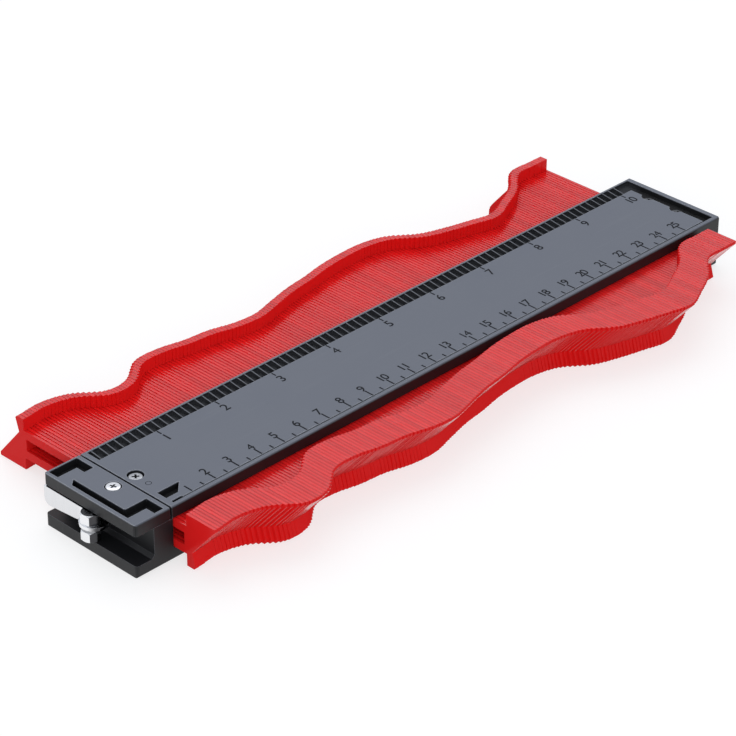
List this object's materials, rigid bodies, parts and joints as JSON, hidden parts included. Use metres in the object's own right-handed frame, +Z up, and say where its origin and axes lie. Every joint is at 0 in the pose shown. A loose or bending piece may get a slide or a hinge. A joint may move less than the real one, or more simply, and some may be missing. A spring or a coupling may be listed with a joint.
{
  "type": "contour gauge",
  "caption": "Profile-copying hand gauge: a row of sliding pointed plastic leaves between two ruled covers, with a lever at one end that locks the copied shape.",
  "frame": {"origin": "middle of the bottom cover's flat underside", "axes": "+X along the row of leaves from the lock end to the far end, +Y along the leaves' travel towards the inch scale, +Z up out of the ruled face"},
  "size_m": [0.2855, 0.1208, 0.0197],
  "materials": {
    "cover_black": "satin moulded",
    "leaf_red": "smooth moulded",
    "bright_metal": "bright plated",
    "plain_steel": "plain"
  },
  "bodies": {
    "frame": {"top_cover": "cover_black", "bottom_cover": "cover_black", "lock_cap": "cover_black", "pivot_pin": "plain_steel", "pivot_nut": "bright_metal", "tie_strap": "plain_steel", "cap_screw": "bright_metal", "lap_screw": "plain_steel", "end_screws": "plain_steel"},
    "lever": {"lock_lever": "bright_metal"},
    "plate": {"pressure_plate": "plain_steel"},
    "leaf_group_01": {"leaf_group_01": "leaf_red"},
    "leaf_group_02": {"leaf_group_02": "leaf_red"},
    "leaf_group_03": {"leaf_group_03": "leaf_red"},
    "leaf_group_04": {"leaf_group_04": "leaf_red"},
    "leaf_group_05": {"leaf_group_05": "leaf_red"},
    "leaf_group_06": {"leaf_group_06": "leaf_red"},
    "leaf_group_07": {"leaf_group_07": "leaf_red"},
    "leaf_group_08": {"leaf_group_08": "leaf_red"},
    "leaf_group_09": {"leaf_group_09": "leaf_red"},
    "leaf_group_10": {"leaf_group_10": "leaf_red"},
    "leaf_group_11": {"leaf_group_11": "leaf_red"},
    "leaf_group_12": {"leaf_group_12": "leaf_red"},
    "leaf_group_13": {"leaf_group_13": "leaf_red"},
    "leaf_group_14": {"leaf_group_14": "leaf_red"},
    "leaf_group_15": {"leaf_group_15": "leaf_red"},
    "leaf_group_16": {"leaf_group_16": "leaf_red"},
    "leaf_group_17": {"leaf_group_17": "leaf_red"},
    "leaf_group_18": {"leaf_group_18": "leaf_red"},
    "leaf_group_19": {"leaf_group_19": "leaf_red"},
    "leaf_group_20": {"leaf_group_20": "leaf_red"},
    "leaf_group_21": {"leaf_group_21": "leaf_red"},
    "leaf_group_22": {"leaf_group_22": "leaf_red"},
    "leaf_group_23": {"leaf_group_23": "leaf_red"},
    "leaf_group_24": {"leaf_group_24": "leaf_red"},
    "leaf_group_25": {"leaf_group_25": "leaf_red"},
    "leaf_group_26": {"leaf_group_26": "leaf_red"},
    "leaf_group_27": {"leaf_group_27": "leaf_red"},
    "leaf_group_28": {"leaf_group_28": "leaf_red"},
    "leaf_group_29": {"leaf_group_29": "leaf_red"},
    "leaf_group_30": {"leaf_group_30": "leaf_red"},
    "leaf_group_31": {"leaf_group_31": "leaf_red"},
    "leaf_group_32": {"leaf_group_32": "leaf_red"},
    "leaf_group_33": {"leaf_group_33": "leaf_red"},
    "leaf_group_34": {"leaf_group_34": "leaf_red"},
    "leaf_group_35": {"leaf_group_35": "leaf_red"},
    "leaf_group_36": {"leaf_group_36": "leaf_red"},
    "leaf_group_37": {"leaf_group_37": "leaf_red"}
  },
  "joints": [
    {"name": "lever_swing", "type": "hinge", "parent": "frame", "child": "lever", "pos_m": [-0.1407, 0, 0.0098], "axis": [0, 0, 1], "range_deg": [0, 110]},
    {"name": "plate_slide", "type": "slide", "parent": "frame", "child": "plate", "axis": [-1, 0, 0], "range_m": [0, 0.0005]},
    {"name": "slide_01", "type": "slide", "parent": "frame", "child": "leaf_group_01", "axis": [0, 1, 0], "range_m": [-0.0282, 0.00445]},
    {"name": "slide_02", "type": "slide", "parent": "frame", "child": "leaf_group_02", "axis": [0, 1, 0], "range_m": [-0.0289, 0.0041]},
    {"name": "slide_03", "type": "slide", "parent": "frame", "child": "leaf_group_03", "axis": [0, 1, 0], "range_m": [-0.02695, 0.00475]},
    {"name": "slide_04", "type": "slide", "parent": "frame", "child": "leaf_group_04", "axis": [0, 1, 0], "range_m": [-0.02185, 0.0072]},
    {"name": "slide_05", "type": "slide", "parent": "frame", "child": "leaf_group_05", "axis": [0, 1, 0], "range_m": [-0.0191, 0.0126]},
    {"name": "slide_06", "type": "slide", "parent": "frame", "child": "leaf_group_06", "axis": [0, 1, 0], "range_m": [-0.01905, 0.01305]},
    {"name": "slide_07", "type": "slide", "parent": "frame", "child": "leaf_group_07", "axis": [0, 1, 0], "range_m": [-0.0211, 0.0078]},
    {"name": "slide_08", "type": "slide", "parent": "frame", "child": "leaf_group_08", "axis": [0, 1, 0], "range_m": [-0.02655, 0.0054]},
    {"name": "slide_09", "type": "slide", "parent": "frame", "child": "leaf_group_09", "axis": [0, 1, 0], "range_m": [-0.0275, 0.0053]},
    {"name": "slide_10", "type": "slide", "parent": "frame", "child": "leaf_group_10", "axis": [0, 1, 0], "range_m": [-0.026, 0.006]},
    {"name": "slide_11", "type": "slide", "parent": "frame", "child": "leaf_group_11", "axis": [0, 1, 0], "range_m": [-0.0252, 0.0076]},
    {"name": "slide_12", "type": "slide", "parent": "frame", "child": "leaf_group_12", "axis": [0, 1, 0], "range_m": [-0.02425, 0.00825]},
    {"name": "slide_13", "type": "slide", "parent": "frame", "child": "leaf_group_13", "axis": [0, 1, 0], "range_m": [-0.0224, 0.00955]},
    {"name": "slide_14", "type": "slide", "parent": "frame", "child": "leaf_group_14", "axis": [0, 1, 0], "range_m": [-0.0216, 0.0113]},
    {"name": "slide_15", "type": "slide", "parent": "frame", "child": "leaf_group_15", "axis": [0, 1, 0], "range_m": [-0.0215, 0.01115]},
    {"name": "slide_16", "type": "slide", "parent": "frame", "child": "leaf_group_16", "axis": [0, 1, 0], "range_m": [-0.0225, 0.0092]},
    {"name": "slide_17", "type": "slide", "parent": "frame", "child": "leaf_group_17", "axis": [0, 1, 0], "range_m": [-0.0245, 0.0074]},
    {"name": "slide_18", "type": "slide", "parent": "frame", "child": "leaf_group_18", "axis": [0, 1, 0], "range_m": [-0.0263, 0.0061]},
    {"name": "slide_19", "type": "slide", "parent": "frame", "child": "leaf_group_19", "axis": [0, 1, 0], "range_m": [-0.0275, 0.0051]},
    {"name": "slide_20", "type": "slide", "parent": "frame", "child": "leaf_group_20", "axis": [0, 1, 0], "range_m": [-0.0286, 0.00365]},
    {"name": "slide_21", "type": "slide", "parent": "frame", "child": "leaf_group_21", "axis": [0, 1, 0], "range_m": [-0.03005, 0.0026]},
    {"name": "slide_22", "type": "slide", "parent": "frame", "child": "leaf_group_22", "axis": [0, 1, 0], "range_m": [-0.0309, 0.0021]},
    {"name": "slide_23", "type": "slide", "parent": "frame", "child": "leaf_group_23", "axis": [0, 1, 0], "range_m": [-0.0313, 0.0019]},
    {"name": "slide_24", "type": "slide", "parent": "frame", "child": "leaf_group_24", "axis": [0, 1, 0], "range_m": [-0.0303, 0.0022]},
    {"name": "slide_25", "type": "slide", "parent": "frame", "child": "leaf_group_25", "axis": [0, 1, 0], "range_m": [-0.0273, 0.0035]},
    {"name": "slide_26", "type": "slide", "parent": "frame", "child": "leaf_group_26", "axis": [0, 1, 0], "range_m": [-0.0221, 0.00715]},
    {"name": "slide_27", "type": "slide", "parent": "frame", "child": "leaf_group_27", "axis": [0, 1, 0], "range_m": [-0.01925, 0.012]},
    {"name": "slide_28", "type": "slide", "parent": "frame", "child": "leaf_group_28", "axis": [0, 1, 0], "range_m": [-0.01725, 0.01445]},
    {"name": "slide_29", "type": "slide", "parent": "frame", "child": "leaf_group_29", "axis": [0, 1, 0], "range_m": [-0.0156, 0.01635]},
    {"name": "slide_30", "type": "slide", "parent": "frame", "child": "leaf_group_30", "axis": [0, 1, 0], "range_m": [-0.01375, 0.01805]},
    {"name": "slide_31", "type": "slide", "parent": "frame", "child": "leaf_group_31", "axis": [0, 1, 0], "range_m": [-0.01365, 0.01855]},
    {"name": "slide_32", "type": "slide", "parent": "frame", "child": "leaf_group_32", "axis": [0, 1, 0], "range_m": [-0.01545, 0.01525]},
    {"name": "slide_33", "type": "slide", "parent": "frame", "child": "leaf_group_33", "axis": [0, 1, 0], "range_m": [-0.0187, 0.0119]},
    {"name": "slide_34", "type": "slide", "parent": "frame", "child": "leaf_group_34", "axis": [0, 1, 0], "range_m": [-0.0222, 0.00645]},
    {"name": "slide_35", "type": "slide", "parent": "frame", "child": "leaf_group_35", "axis": [0, 1, 0], "range_m": [-0.0281, 0.00205]},
    {"name": "slide_36", "type": "slide", "parent": "frame", "child": "leaf_group_36", "axis": [0, 1, 0], "range_m": [-0.0312, 0.0019]},
    {"name": "slide_37", "type": "slide", "parent": "frame", "child": "leaf_group_37", "axis": [0, 1, 0], "range_m": [-0.03115, 0.0021]}
  ],
  "couplings": [
    {"joint": "plate_slide", "follows": "lever_swing", "m_per_rad": 0.00026043}
  ]
}
